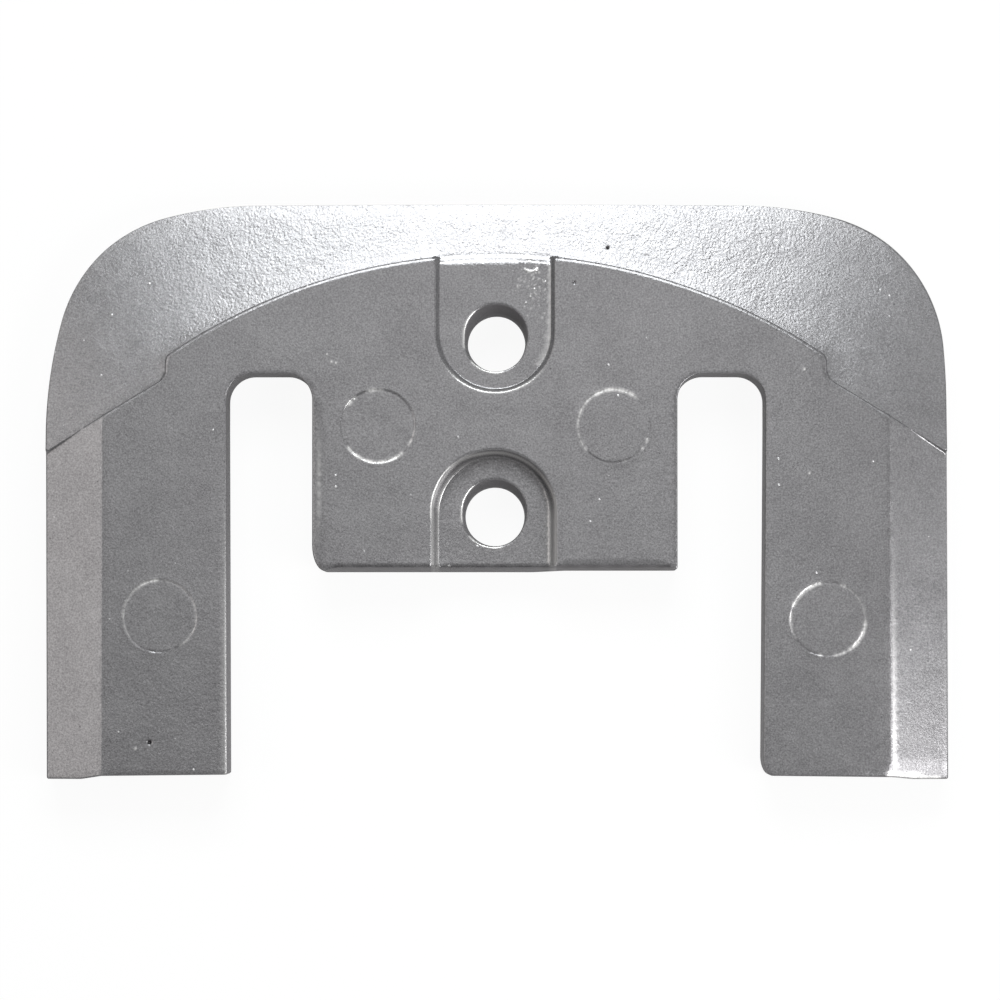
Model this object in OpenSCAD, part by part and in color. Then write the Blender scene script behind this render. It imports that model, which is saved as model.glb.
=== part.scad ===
// Sacrificial anode: one flat die casting with two legs, a middle tab and two bolt holes.
// Frame: the plain back lies on z = 0 and the raised face looks along +Z.
// x runs across the legs, y from the leg ends to the curved top edge, origin mid-box.

/* [Overall] */
// Length across both legs
length = 144.2; // [138:0.2:152]
// Width from the leg ends to the top edge
width = 91.7; // [89:0.1:96]
// Thickness from the back to the raised face
thickness = 12; // [11:0.5:16]

/* [Outer corners] */
// Radius of both upper corners
corner_r = 23.4; // [18:0.2:26]
// Radius of the long blend down the left side
left_side_r = 70; // [50:1:90]
// Angle that the left blend turns through
left_side_deg = 15; // [8:1:18]
// Radius of the short blend down the right side
right_side_r = 115; // [60:1:150]
// Angle that the right blend turns through
right_side_deg = 4.5; // [3:0.5:8]
// Radius of the blend into the top edge
top_blend_r = 60; // [45:1:75]
// Angle that the top blend turns through
top_blend_deg = 14.5; // [8:0.5:16]

/* [Raised face] */
// Width of the sloping border at the middle of the top edge
border_w = 8.1; // [6:0.1:10]
// Radius of the arched upper edge of the raised face
arch_r = 93; // [88:0.5:110]
// Step from the raised face down to the border, along the arch
border_step = 1.2; // [0.9:0.1:1.5]
// Slope of the border, falling outward
border_deg = 12; // [8:1:14]
// Half width of the arch, to the short jog at each end
arch_half_w = 52.6; // [50:0.2:55]
// Distance from the top edge down to the shoulder line, where it meets the bevel
shoulder_drop = 33.95; // [32.5:0.05:36]
// Slope of the shoulder line
shoulder_deg = 31.2; // [28:0.2:34]
// Width of the bevel along the outer side of each leg
bevel_w = 9.45; // [8:0.05:11]
// Slope of the bevel, falling outward
bevel_deg = 14; // [10:1:18]

/* [Legs and tab] */
// Gap between the inner faces of the legs
leg_gap = 85.8; // [82:0.2:90]
// Width of the middle tab
tab_w = 58.3; // [54:0.1:60]
// Distance from the top edge down to the closed ends of the notches
notch_drop = 27.15; // [26.5:0.05:29]
// Length of the tab below the closed ends of the notches
tab_len = 31.3; // [30:0.1:34]
// Draft of the tab's end face
tab_draft_deg = 3; // [1:0.5:5]
// Radius in the closed corners of the notches
notch_r = 4.2; // [3:0.1:5]
// Height of the rounded corner at the tab's left and at the right leg's inner end
toe_round_h = 3.2; // [2:0.1:4]
// Width of the rounded corner of the tab
tab_round_w = 1.9; // [1:0.1:2.2]
// Width of the rounded corner of the right leg
leg_round_w = 1.3; // [0.8:0.1:1.8]
// Amount by which the bevelled part of a leg's end stands proud
toe_proud = 0.5; // [0.2:0.1:0.8]

/* [Bolt holes] */
// Diameter of the two bolt holes
bolt_d = 9.5; // [8.5:0.1:10]
// Distance between the two bolt holes
bolt_spacing = 27.75; // [27:0.05:29]
// Distance from the top edge to the upper bolt hole
upper_hole_drop = 22; // [21:0.1:23]
// Widening of each hole at its mouth, on the radius
mouth_flare = 0.42; // [0.2:0.02:0.6]
// Depth of the flared part of each hole
mouth_depth = 4.5; // [3:0.1:5]
// Distance by which the upper hole's mouth is drawn out toward the top edge
upper_mouth_shift = 0.9; // [0.2:0.05:1.2]
// Distance by which the lower hole's mouth is drawn out toward the top edge
lower_mouth_shift = 0.65; // [0.2:0.05:1.2]

/* [Bolt seats] */
// Depth of the upper seat, which is open toward the border
upper_seat_depth = 0.75; // [0.4:0.05:0.85]
// Radius of the upper seat's flat floor
upper_floor_r = 8.95; // [8:0.05:9.5]
// Distance from the upper hole up to the middle of the seat's round end
upper_seat_lift = 1.35; // [0:0.05:2]
// Depth of the lower seat, which is open at the tab's end
lower_seat_depth = 3.5; // [2.5:0.1:4.5]
// Radius of the lower seat's flat floor
lower_floor_r = 8.8; // [8:0.05:9.5]
// Distance from the lower hole up to the middle of the seat's round end
lower_seat_lift = 0.5; // [0:0.05:1]
// Spread of the upper seat's wall from the floor to the rim
upper_wall_spread = 0.85; // [0.4:0.05:1.2]
// Spread of the lower seat's wall from the floor to the rim
lower_wall_spread = 1.23; // [0.6:0.01:1.6]

/* [Ejector pin marks] */
// Diameter of the round marks left by the ejector pins
mark_d = 11.9; // [10:0.1:13]
// Width of the line around each mark
mark_line_w = 0.3; // [0.2:0.05:0.5]
// Depth of the line around each mark
mark_line_depth = 0.15; // [0.1:0.05:0.3]
// Distance from the middle to the marks on the tab
tab_mark_x = 18.8; // [18:0.1:20.5]
// Distance from the top edge to the marks on the tab
tab_mark_drop = 35.5; // [34:0.1:38]
// Distance from the middle to the marks on the legs
leg_mark_x = 53.2; // [51.5:0.1:54.5]
// Distance from the top edge to the marks on the legs
leg_mark_drop = 66; // [60:0.5:72]

/* [Hidden] */
$fn = 96;
// Overlap that cuts and joined bodies run past each other
over = 1;
half_l = length / 2;
top_y = width / 2;
end_y = -width / 2;
arch_y = top_y - border_w - arch_r;
shoulder_y = top_y - shoulder_drop;
bevel_x = half_l - bevel_w;
jog_y = shoulder_y + (bevel_x - arch_half_w) * tan(shoulder_deg);
notch_y = top_y - notch_drop;
tab_y = notch_y - tab_len;
upper_y = top_y - upper_hole_drop;
lower_y = upper_y - bolt_spacing;
bolt_r = bolt_d / 2;
mouth_r = bolt_r + mouth_flare;
// Run of the slope at which a leg's end steps out to its proud part
toe_run = toe_proud * 7;
// Thickness of the two sheets that a seat's cutter is stretched between
skin = 0.01;
// Height of the upright foot under a seat's leaning wall
seat_foot = 0.05;

// Points along an arc, ends included, about one for each 3 degrees
function arc(centre, radius, from, to) =
    let (steps = max(3, ceil(abs(to - from) / 3)))
    [for (i = [0:steps])
        let (turn = from + (to - from) * i / steps)
        centre + radius * [cos(turn), sin(turn)]];

// The same points on the other side of the middle line, in reverse order
function mirrored(points) = [for (i = [len(points) - 1:-1:0]) [-points[i][0], points[i][1]]];

// Right half of an upper corner: a side blend, the corner radius and a top blend, all tangent
function corner(side_r, side_deg) =
    let (
        top_deg = 90 - top_blend_deg,
        middle = [
            half_l - side_r + (side_r - corner_r) * cos(side_deg),
            top_y - top_blend_r + (top_blend_r - corner_r) * sin(top_deg)
        ],
        side_c = middle - (side_r - corner_r) * [cos(side_deg), sin(side_deg)],
        top_c = middle - (top_blend_r - corner_r) * [cos(top_deg), sin(top_deg)]
    )
    concat(
        arc(side_c, side_r, 0, side_deg),
        arc(middle, corner_r, side_deg + 2, top_deg - 2),
        arc(top_c, top_blend_r, top_deg, 90)
    );

// Closed end of the right notch, from its tab side to its leg side
notch_end = concat(
    arc([tab_w / 2 + notch_r, notch_y - notch_r], notch_r, 180, 90),
    arc([leg_gap / 2 - notch_r, notch_y - notch_r], notch_r, 90, 0)
);

// A lower left corner rounded by an arc that is tangent to the upright side
function round_toe(x, y, w, h) =
    let (radius = (w * w + h * h) / (2 * w))
    arc([x + radius, y + h], radius, 180, 180 + asin(h / radius));

// Outline of the whole casting, seen from the face, starting at the end of the right leg
module outline() {
    polygon(concat(
        [[half_l, end_y]],
        corner(right_side_r, right_side_deg),
        mirrored(corner(left_side_r, left_side_deg)),
        [
            [-half_l, end_y],
            [-bevel_x - toe_run, end_y],
            [-bevel_x, end_y + toe_proud],
            [-leg_gap / 2, end_y + toe_proud]
        ],
        mirrored(notch_end),
        round_toe(-tab_w / 2, tab_y, tab_round_w, toe_round_h),
        [[tab_w / 2, tab_y]],
        notch_end,
        round_toe(leg_gap / 2, end_y + toe_proud, leg_round_w, toe_round_h),
        [[bevel_x, end_y + toe_proud], [bevel_x + toe_run, end_y]]
    ));
}

// Everything on one side of the two sloping shoulder lines
module shoulder_side(edge_y) {
    side_y = jog_y - (half_l + over - arch_half_w) * tan(shoulder_deg);
    polygon([
        [-half_l - over, edge_y],
        [-half_l - over, side_y],
        [-arch_half_w, jog_y],
        [arch_half_w, jog_y],
        [half_l + over, side_y],
        [half_l + over, edge_y]
    ]);
}

// The border above the shoulders, which falls away like a cone around the arch's centre
module border() {
    border_h = thickness - border_step * 0.3;
    run = 1 / tan(border_deg);
    intersection() {
        linear_extrude(border_h) intersection() {
            outline();
            shoulder_side(top_y + over);
        }
        translate([0, arch_y, 0])
            cylinder(
                h = border_h,
                r1 = arch_r + (thickness - border_step) * run,
                r2 = arch_r - (border_step - (thickness - border_h)) * run,
                $fn = 180
            );
    }
}

// The raised face with its arched top, and the legs below the shoulders
module face() {
    difference() {
        linear_extrude(thickness) intersection() {
            outline();
            union() {
                shoulder_side(end_y - over);
                intersection() {
                    translate([0, arch_y]) circle(r = arch_r, $fn = 180);
                    translate([-arch_half_w, 0]) square([2 * arch_half_w, top_y]);
                }
            }
        }
        leg_bevel();
        mirror([1, 0, 0]) leg_bevel();
    }
}

// What the outer side of one leg loses to its bevel
module leg_bevel() {
    run = bevel_w + over;
    translate([bevel_x, top_y, thickness]) rotate([90, 0, 0])
        linear_extrude(width + over)
            polygon([[0, 0], [run, -run * tan(bevel_deg)], [run, over], [0, over]]);
}

// Plan of a seat with a round end, open along +Y
module seat_plan(radius, reach) {
    polygon(concat(arc([0, 0], radius, -180, 0), [[radius, reach], [-radius, reach]]));
}

// A bolt seat with a round end, a flat floor and a wall that leans from a low upright foot
module seat(floor_r, depth, spread, reach) {
    lean = spread / (depth - seat_foot);
    levels = [
        [thickness - depth + seat_foot, floor_r],
        [thickness + over, floor_r + spread + lean * over]
    ];
    translate([0, 0, thickness - depth])
        linear_extrude(depth + over) seat_plan(floor_r, reach);
    hull()
        for (level = levels)
            translate([0, 0, level[0]]) linear_extrude(skin) seat_plan(level[1], reach);
}

// A round bolt hole; its mouth flares and is a little oblong, drawn out toward +Y
module bolt_hole(seat_depth, shift) {
    straight_h = thickness - seat_depth - mouth_depth;
    translate([0, 0, -over]) cylinder(h = thickness + 2 * over, r = bolt_r);
    flare(straight_h, bolt_r);
    translate([0, shift, 0]) flare(straight_h, bolt_r - shift - mouth_flare / 4);
}

// A cone that reaches the mouth's radius at the seat, run on a little at both ends
module flare(low, start_r) {
    widen = (mouth_r - start_r) / mouth_depth;
    translate([0, 0, low - over])
        cylinder(
            h = mouth_depth + 2 * over,
            r1 = start_r - widen * over,
            r2 = mouth_r + widen * over
        );
}

// The shallow round line that an ejector pin leaves in the face
module pin_mark() {
    translate([0, 0, thickness - mark_line_depth]) difference() {
        cylinder(h = mark_line_depth + over, d = mark_d);
        translate([0, 0, -over])
            cylinder(h = mark_line_depth + 3 * over, d = mark_d - 2 * mark_line_w);
    }
}

// What the tab's end face loses to its draft
module tab_draft() {
    translate([-tab_w / 2 - over, tab_y, 0]) rotate([-tab_draft_deg, 0, 0])
        translate([0, -2 * over, -over]) cube([tab_w + 2 * over, 2 * over, thickness + 3 * over]);
}

module anode_casting() {
    color([0.62, 0.62, 0.63]) difference() {
        union() {
            border();
            face();
        }
        translate([0, upper_y + upper_seat_lift, 0])
            seat(upper_floor_r, upper_seat_depth, upper_wall_spread, top_y - upper_y);
        translate([0, lower_y + lower_seat_lift, 0]) rotate([0, 0, 180])
            seat(lower_floor_r, lower_seat_depth, lower_wall_spread, lower_y - tab_y + 2 * over);
        translate([0, upper_y, 0]) bolt_hole(upper_seat_depth, upper_mouth_shift);
        translate([0, lower_y, 0]) bolt_hole(lower_seat_depth, lower_mouth_shift);
        tab_draft();
        for (side = [-1, 1]) {
            translate([side * tab_mark_x, top_y - tab_mark_drop, 0]) pin_mark();
            translate([side * leg_mark_x, top_y - leg_mark_drop, 0]) pin_mark();
        }
    }
}

anode_casting();
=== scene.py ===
import math
import bmesh
import bpy
import numpy as np
from mathutils import Matrix, Vector
from mathutils.geometry import delaunay_2d_cdt


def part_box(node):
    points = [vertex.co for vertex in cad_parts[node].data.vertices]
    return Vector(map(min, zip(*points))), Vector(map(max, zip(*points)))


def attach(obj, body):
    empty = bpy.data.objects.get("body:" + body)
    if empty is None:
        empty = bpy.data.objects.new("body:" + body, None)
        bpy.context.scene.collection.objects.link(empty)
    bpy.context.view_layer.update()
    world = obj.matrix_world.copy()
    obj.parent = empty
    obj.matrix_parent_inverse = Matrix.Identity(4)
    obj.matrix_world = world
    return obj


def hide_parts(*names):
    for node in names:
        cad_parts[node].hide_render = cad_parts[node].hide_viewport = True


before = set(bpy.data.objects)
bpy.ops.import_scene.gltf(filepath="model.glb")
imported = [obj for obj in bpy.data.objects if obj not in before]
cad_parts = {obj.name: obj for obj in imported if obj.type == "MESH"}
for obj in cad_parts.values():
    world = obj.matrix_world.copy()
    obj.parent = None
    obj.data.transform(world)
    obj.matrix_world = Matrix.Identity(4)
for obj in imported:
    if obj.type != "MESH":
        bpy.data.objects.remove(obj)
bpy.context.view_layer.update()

# The anode is worked out in millimetres in the frame's own axes and turned to metres at the end.
mm = 0.001
low, high = (np.array(corner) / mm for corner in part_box("anode_casting"))
halfLength, topY, endY, faceZ = high[0], high[1], low[1], high[2]

# What a user would change on the casting; drops are measured down from the top edge
casting = {
    "cornerRadius": 23.4,
    "sideBlendLeft": (70.0, 15.0),      # radius and degrees of the long blends
    "sideBlendRight": (115.0, 4.5),
    "topBlend": (60.0, 14.5),
    "borderWidth": 8.1, "archRadius": 93.0,
    "coneDrop": 9.0, "coneRadius": 95.3,    # where the border's cone starts
    "borderStep": 1.0, "borderSlope": 12.0,
    "archHalfWidth": 52.6, "shoulderDrop": 33.95, "shoulderSlope": 31.2, "jogTop": 1.6,
    "padCorner": 0.9,                   # round where the raised face's edges meet
    "bevelWidth": 9.45, "bevelSlope": 14.0, "crestRound": 0.13,
    "crestCurl": (0.9, 3.6), "endFall": (0.02, 1.5, 0.3),   # at the right bevel's lower end
    "tabRoll": (0.22, 2.4), "rollStart": (3, 4),    # along the tab's left edge: depth and width
    "legGap": 85.8, "tabWidth": 58.3, "notchDrop": 27.15, "tabLength": 31.3,
    "notchRadius": 4.2, "tabToe": (2.1, 4.2), "legToe": (1.45, 3.0),    # toes: width, height
    "toeProud": (0.5, 0.32), "toeRun": 3.5, "endLean": 0.2,     # left and right leg
    "tabEnds": (-0.17, 0.07), "tabJog": (6, 11),    # how far its halves are off, and between
    "faceStep": (0.7, 0.09, 0.16),      # lengths of the roll and the wall, and the roll's share
    "stepNarrow": (1, 4, 0.5),          # the step beyond the crests: start, length and share
    "footRound": (0.1, 0.9), "outerFall": (0.1, 2.4),   # height and length
    "fallEnds": (56, 20),               # half width where that fall ends, and over what length
    "uprightEdge": 0.25,                # radius of the sharp upright corners
    "rimRound": (0.26, 0.13, 0.05, 0.32),   # legs and tab, border, top edge, right upper corner
    "rimTop": 1.2, "rimCorner": (52, 24),   # where the last two begin
    "backRound": 0.3, "tabDraft": 0.6,
    "waveHeight": 0.004, "waveDrop": 0.012,     # the drop keeps the waves' crests in the box
}
waves = {"count": 40, "lengths": (3, 14), "seed": 7, "phase": 7, "evenOut": 4.5}

# Bolt seats: height of the hole's middle, lift of the round end, opening direction, sizes;
# opening says how the upper seat's floor rolls over where it meets the border, runOut where
# its wall ends beyond the raised face, and rimSoft and footSoft round the walls' edges
upperSeat = {"drop": 22.0, "lift": 1.45, "opens": 1, "depth": 0.75, "floor": 8.9,
             "spread": 0.65, "endSpread": 0.42, "middle": -0.1, "mouthShift": 0.9,
             "hole": (0.05, 4.62), "opening": (1.05, 0.16, 0.8), "openingShift": 0.15,
             "runOut": (0.1, 2.5), "rimSoft": 0.16, "footSoft": 0.1}
lowerSeat = {"drop": 49.75, "lift": 0.5, "opens": -1, "depth": 3.5, "floor": 9.0,
             "spread": 0.95, "middle": -0.25, "mouthShift": 0.65, "hole": (-0.2, 4.74),
             "foot": (0.16, 1.3), "footEnd": 7, "rimSoft": 0.45, "footSoft": 0.5}
seats = (upperSeat, lowerSeat)
boltHole = {"flare": 0.42, "flareDepth": 4.5, "rimRound": 0.25, "points": 132}

# The casting is a little out of true: sideways shift at the upper side of the legs and the
# further shift at their ends, for lines that run up and down at these distances from the middle
outOfTrue = {
    "x": (-72.1, -62.65, -42.9, -29.15, 0, 29.15, 42.9, 62.65, 72.1),
    "upper": (0.17, -0.12, -0.1, -0.15, 0, -0.27, 0, 0.05, -0.2),
    "lower": (0.27, 0, 0.25, 0, 0, 0, -0.45, 0.25, 0.12),
}

# Ejector pin marks: middle, radius, how far the disc inside lies off the face, and the parts
# of the ring painted pale as highlight, with strength above 0, and painted dark as shade, with
# strength below 0, as degrees from, degrees to and strength
pinMarks = [
    {"at": (-18.77, 10.36), "radius": 5.79, "sink": -0.05, "turned": 0.006,
     "arcs": ((216, 313, 0.85), (326, 338, 0.5), (345, 350, 0.6), (137, 147, 1.0), (126, 132, 0.8),
              (92, 108, 0.8), (82, 90, 0.7), (36, 76, -0.25), (110, 126, -0.3))},
    {"at": (18.92, 10.34), "radius": 5.8, "sink": 0.03,
     "arcs": ((58, 122, 1.0), (47, 58, 0.5), (122, 172, 0.6), (172, 200, 0.35), (204, 211, 0.8),
              (216, 221, 0.6), (225, 299, -0.4), (285, 289, 0.7), (320, 326, 0.7), (333, 340, 0.6))},
    {"at": (-53.5, -19.92), "radius": 5.73, "sink": -0.03,
     "arcs": ((92, 131, 0.75), (131, 186, 0.42), (186, 215, 0.25), (236, 304, -0.45), (304, 392, 0.25),
              (40, 92, 0.2))},
    {"at": (52.83, -20.45), "radius": 5.82, "sink": -0.02,
     "arcs": ((101, 159, 0.95), (168, 192, 0.55), (192, 211, 0.25), (211, 254, -0.3), (256, 260, 0.8),
              (279, 298, 0.6), (302, 355, 1.0), (355, 418, 0.3), (62, 70, 0.9))},
]
# Their line: how far it sways, depth and half width of its groove, height, distance and half
# width of the lip around it, how uneven both are, and the turning lines on the disc inside
ringLine = {"sway": 0.05, "groove": (0.05, 0.14), "lip": (0.025, 0.28, 0.16),
            "uneven": (0.62, 0.38, 0.2), "discEdge": 0.4, "turning": (5.2, -0.5)}

# Small pits with painted shade inside, and lumps with a painted highlight: place, radius, height and
# the strength of that painted shade or highlight
spots = [dict(zip(("at", "radius", "height", "strength"), spot)) for spot in (
    ((-55.1, -40.0), 0.3, -0.28, 1), ((18.0, 38.9), 0.21, -0.18, 1),
    ((12.6, 33.2), 0.19, -0.14, 0.7), ((-57.3, -41.0), 0.22, 0.06, 0.8),
    ((5.4, 36.8), 0.3, 0.05, 0.8), ((-26.8, 21.8), 0.15, 0.05, 0.8),
    ((-26.1, 20.6), 0.17, 0.05, 0.8), ((-25.4, 20.4), 0.17, 0.05, 0.8),
    ((49.1, 19.4), 0.22, 0.06, 0.8), ((49.9, 2.8), 0.18, 0.05, 0.8))]
chip = {"at": (5.63, 36.62), "radius": 1.55, "width": 0.17, "height": 0.05, "arc": (224, 316)}

# Fine rough lumps beside the chip, on the upper seat's floor, kept clear of its wall and edge; each
# gets a painted highlight as a glint
patch = {"middle": (6.6, 33.4), "spread": (2.6, 4.2), "count": 110, "radius": 0.14,
         "height": 0.02, "strength": 0.45, "right": 8.6, "top": 36.3}
chance = np.random.default_rng(3)
scatter = [{"at": np.array(patch["middle"]) + patch["spread"] * chance.normal(0, 0.6, 2),
            "radius": patch["radius"] * chance.uniform(0.5, 1.3), "height": patch["height"],
            "strength": patch["strength"]}
           for _ in range(patch["count"])]
scatter = [lump for lump in scatter
           if lump["at"][0] < patch["right"] and lump["at"][1] < patch["top"]]

# Lines of painted highlight, where the skin is painted pale as if light caught it: distance from the
# edge that each follows, half width and strength; the bevel's end is a strip with a strength alone,
# and arcs are in degrees
highlightLines = {
    "tabEdge": (1.1, 0.34, 0.5), "legEdge": (-0.3, 0.14, 0.7), "crest": (0.33, 0.16, 0.5),
    "bevelEnd": 0.75, "upperRim": (0.02, 0.19, 1), "upperFoot": (-0.15, 0.2, 0.5),
    "lowerWall": (0, 0.18, 1), "lowerGlint": (0.12, 0.2, 1), "lowerFoot": (0, 0.17, 1),
    "rightFoot": (-0.12, 0.15, 0.4), "mouth": (0, 0.17, 1),
    "glintArc": (132, 186), "footArc": (140, 178), "mouthArcs": ((125, 192), (218, 282)),
}
# Where the painted highlight lines begin and over what length; the tab edge's has a middle and a half
# length
highlightRun = {
    "tabEdge": (1.5, 7), "legEdge": (-5, 35), "crest": (3, 35), "stripStart": (-0.9, 0.3),
    "stripEnds": (1.4, 0.3, 0.9, 0.08), "roundEnd": (-2, 7), "left": (2, 4), "right": (5, 3),
}
ringHighlightLook = {"width": (0.15, 0.12), "strength": 1.2}     # painted highlight on the ring marks: least width, and growth with strength
endShade = {"rise": 0.6, "width": 0.22, "strength": 0.5}     # painted shade: a dark line along the tab's end
# half width of the painted shade along the ring marks' dark parts
ringShade = 0.17
pitShade = (0.9, 0.8)        # where the painted shade inside a pit ends, and over what length, in its radii
arcFade = 7                 # degrees over which the ends of a mark's arcs fade

# How strongly the skin is pebbled, with start, length and height where it changes: along the
# border's sides, at its corners and towards the left leg's end
pebbling = {"face": 0.4, "border": 0.6, "bevel": 0.2, "calmSides": (34, 22, 0.8),
            "corners": (40, 20, 0.2), "leftLeg": (22, 12, 0.25)}

# Spacing of the mesh's points, and how far points stay from the ones placed before them
meshStep = {"path": 0.3, "edge": 0.34, "grid": 0.75, "upright": 0.5, "back": 4,
            "corner": 0.15, "seat": 0.4, "ring": 0.3, "chip": 0.15, "spot": 0.2}
seatSides = 13              # how far a seat's rows run on towards its opening
meshGap = {"merge": 0.045, "edge": 0.14, "grid": 0.42, "back": 1.2}
# Rows of points that follow the face's edges, as distances from them; a seat's are shares of
# its wall's width, a spot's of its radius
meshRows = {
    "pad": (0.9, 0.62, 0.45, 0.36, 0.27, 0.18, 0.09, 0,
            -0.05, -0.1, -0.15, -0.3, -0.55, -0.9, -1.4),
    "seat": (-0.5, -0.25, -0.1, 0, 0.12, 0.25, 0.4, 0.55, 0.7, 0.8, 0.9, 1, 1.12, 1.25, 1.4, 1.7),
    "crest": (-0.35, -0.15, 0, 0.15, 0.35),
    "ring": (-0.5, -0.28, -0.14, -0.06, 0, 0.06, 0.14, 0.26, 0.4, 0.6),
    "chip": (-0.4, -0.2, -0.1, 0, 0.1, 0.2, 0.4),
    "tab": (-0.55, -0.3, -0.15, 0, 0.15, 0.3, 0.55),
    "leg": (-0.1, 0.1, 0.3),
    "mouth": (0.12, 0.26, 0.45),
    "spot": (0, 0.35, 0.7, 1.05, 1.4, 1.8, 2.3),
}

archY = topY - casting["borderWidth"] - casting["archRadius"]
coneY = topY - casting["coneDrop"] - casting["coneRadius"]
bevelX = halfLength - casting["bevelWidth"]
shoulderY = topY - casting["shoulderDrop"]
shoulderTan = math.tan(math.radians(casting["shoulderSlope"]))
jogY = shoulderY + (bevelX - casting["archHalfWidth"]) * shoulderTan
notchY = topY - casting["notchDrop"]
tabY = notchY - casting["tabLength"]
legX, tabX = casting["legGap"] / 2, casting["tabWidth"] / 2


def softMax(a, b, k):
    # the larger of two values, with a round of size k where they cross
    h = np.clip(0.5 + 0.5 * (a - b) / k, 0, 1)
    return b + (a - b) * h + k * h * (1 - h)


def softMin(a, b, k):
    # the smaller of two values, in the same way
    return -softMax(-a, -b, k)


def ease(t):
    # smooth ramp from 0 to 1
    t = np.clip(t, 0, 1)
    return t * t * (3 - 2 * t)


def fade(value, start, length, height=1):
    # smooth ramp that rises from 0 at the start to its height a length further on
    return height * ease((value - start) / length)


def bell(distance, width):
    # 1 on a line and 0 away from it
    return np.exp(-(distance / width) ** 2)


def around(x, y, middle):
    # distance and direction of each point from a middle
    return np.hypot(x - middle[0], y - middle[1]), np.arctan2(y - middle[1], x - middle[0])


def stepShare(d, roll, wall, share):
    # share of a step's height that is lost at distance d from its edge: the edge rolls over
    # gently within a first length and loses a small share, then the wall takes the rest
    gentle = share * np.clip((d + roll) / roll, 0, 1) ** 2
    return gentle + (1 - share) * ease(d / wall)


def arc(centre, radius, start, end, step=0.25):
    # points on a circle between two angles in degrees, one for each step of its length
    count = max(3, math.ceil(abs(end - start) * math.pi / 180 * radius / step))
    turn = np.radians(np.linspace(start, end, count + 1))
    return np.array(centre) + radius * np.column_stack((np.cos(turn), np.sin(turn)))


def mirrored(points):
    # the same path on the other side, run the other way round
    return points[::-1] * (-1, 1)


def roundCorner(before, corner, after, radius):
    # arc that is tangent to both straight sides of a corner
    a, b = np.array(before) - corner, np.array(after) - corner
    a, b = a / np.hypot(*a), b / np.hypot(*b)
    half = math.acos(np.clip(a @ b, -1, 1)) / 2
    middle = np.array(corner) + (a + b) / np.hypot(*(a + b)) * radius / math.sin(half)
    first = np.array(corner) + a * radius / math.tan(half)
    last = np.array(corner) + b * radius / math.tan(half)
    start = math.degrees(math.atan2(*(first - middle)[::-1]))
    sweep = math.degrees(math.atan2(*(last - middle)[::-1])) - start
    sweep = (sweep + 180) % 360 - 180
    return arc(middle, radius, start, start + sweep, meshStep["corner"])


def spreadPath(points, step, closed):
    # the path with its points spread evenly along its length
    if closed:
        points = np.vstack((points, points[:1]))
    along = np.concatenate(([0], np.cumsum(np.hypot(*np.diff(points, axis=0).T))))
    at = np.linspace(0, along[-1], round(along[-1] / step), endpoint=not closed)
    return np.column_stack([np.interp(at, along, points[:, axis]) for axis in (0, 1)])


def leftOf(run):
    # unit vectors to the left of these directions
    run = run / np.hypot(*run.T)[:, None]
    return np.column_stack((-run[:, 1], run[:, 0]))


def inset(path, normals, gap):
    # the path moved inwards; points that ran past each other at a sharp corner are spread
    # along a short cut, which grows until no stretch runs backwards
    loop = path + normals * np.broadcast_to(gap, len(path))[:, None]
    along = np.roll(path, -1, axis=0) - path
    index = np.arange(len(path))
    cut = np.zeros(len(path), dtype=bool)
    for _ in range(20):
        run = np.roll(loop, -1, axis=0) - loop
        back = (run * along).sum(axis=1) < 0.15 * (along ** 2).sum(axis=1)
        if not back.any():
            break
        cut |= back | np.roll(back, 1) | np.roll(back, -1)
        for axis in (0, 1):
            loop[cut, axis] = np.interp(index[cut], index[~cut], loop[~cut, axis], period=len(path))
    return loop


def upperCorner(sideRadius, sideAngle):
    # right upper corner: long side blend, corner radius and top blend, tangent to each other
    c = casting
    topRadius, topTurn = c["topBlend"]
    topAngle = 90 - topTurn
    side = np.array([math.cos(math.radians(sideAngle)), math.sin(math.radians(sideAngle))])
    top = np.array([math.cos(math.radians(topAngle)), math.sin(math.radians(topAngle))])
    middle = np.array([
        halfLength - sideRadius + (sideRadius - c["cornerRadius"]) * side[0],
        topY - topRadius + (topRadius - c["cornerRadius"]) * top[1]])
    return np.vstack((
        arc(middle - (sideRadius - c["cornerRadius"]) * side, sideRadius, 0, sideAngle),
        arc(middle, c["cornerRadius"], sideAngle, topAngle)[1:-1],
        arc(middle - (topRadius - c["cornerRadius"]) * top, topRadius, topAngle, 90)))


def roundToe(x, y, width, height):
    # lower left corner rounded by a quarter of an ellipse
    turn = np.linspace(0, math.pi / 2, 20)
    return np.column_stack((x + width * (1 - np.cos(turn)), y + height * (1 - np.sin(turn))))


def outlinePath():
    # the whole outline, anticlockwise from the end of the right leg
    c = casting
    leftEnd, rightEnd = (endY + proud for proud in c["toeProud"])
    tabLeft, tabRight = (tabY + off for off in c["tabEnds"])
    edge = c["uprightEdge"]
    notchEnd = np.vstack((
        arc((tabX + c["notchRadius"], notchY - c["notchRadius"]), c["notchRadius"], 180, 90),
        arc((legX - c["notchRadius"], notchY - c["notchRadius"]), c["notchRadius"], 90, 0)))
    outer = roundCorner((bevelX, endY), (halfLength, endY), (halfLength, 0), edge)
    return np.vstack((
        [[bevelX + c["toeRun"], endY]],
        outer,
        upperCorner(*c["sideBlendRight"]),
        mirrored(upperCorner(*c["sideBlendLeft"])),
        mirrored(outer),
        [[-bevelX - c["toeRun"], endY], [-bevelX, leftEnd]],
        roundCorner((-bevelX, leftEnd), (-legX, leftEnd + c["endLean"]), (-legX, 0), edge),
        mirrored(notchEnd),
        roundToe(-tabX, tabLeft, *c["tabToe"]),
        np.column_stack((c["tabJog"], (tabLeft, tabRight))),
        roundCorner((0, tabRight), (tabX, tabRight), (tabX, 0), edge),
        notchEnd,
        roundToe(legX, rightEnd + c["endLean"], *c["legToe"]),
        [[bevelX, rightEnd]]))


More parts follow.
